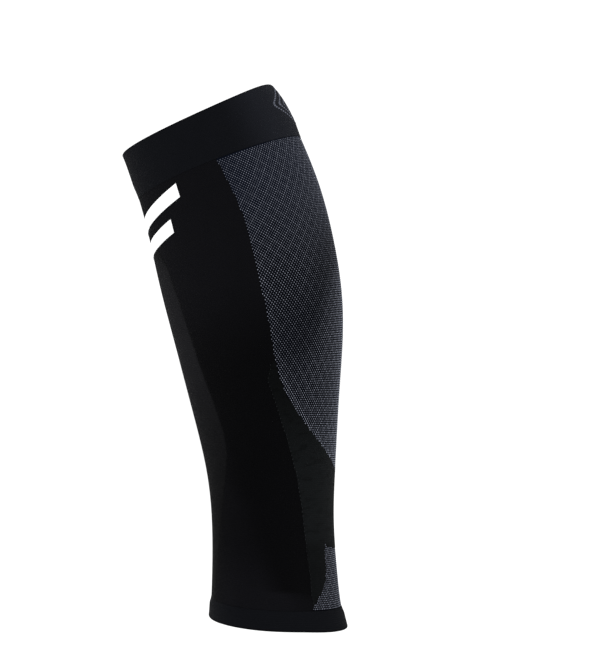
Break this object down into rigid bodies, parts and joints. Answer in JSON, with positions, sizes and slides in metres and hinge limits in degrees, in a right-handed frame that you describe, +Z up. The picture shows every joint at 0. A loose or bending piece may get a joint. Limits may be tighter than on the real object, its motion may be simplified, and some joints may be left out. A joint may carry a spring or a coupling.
{
  "type": "calf compression sleeve",
  "caption": "Knitted calf compression sleeve with doubled cuffs, a dotted open-knit calf panel and zoned support knit, in the form it has on a leg.",
  "frame": {"origin": "on the leg's line inside the sleeve, level with the widest part of the calf, where the leg holds the sleeve up", "axes": "+Z up the leg's line towards the knee, -Y towards the shin, +Y towards the calf, +X towards the outer side of a left leg"},
  "size_m": [0.1096, 0.1336, 0.3698],
  "materials": {
    "cuff_knit": "fine doubled knit",
    "black_knit": "plain fine knit",
    "shin_knit": "plain fine knit, slightly lighter",
    "support_knit": "dense ribbed knit",
    "dotted_mesh_knit": "black knit with grey stitches",
    "reflective_film": "satin heat-bonded film"
  },
  "bodies": {
    "root": {"upper_cuff": "cuff_knit", "side_panel": "black_knit", "shin_panel": "shin_knit", "calf_mesh_panel": "dotted_mesh_knit", "achilles_panel": "support_knit", "achilles_mesh_patch": "dotted_mesh_knit", "lower_cuff": "cuff_knit", "upper_chevron": "reflective_film", "lower_chevron": "reflective_film"}
  },
  "joints": []
}
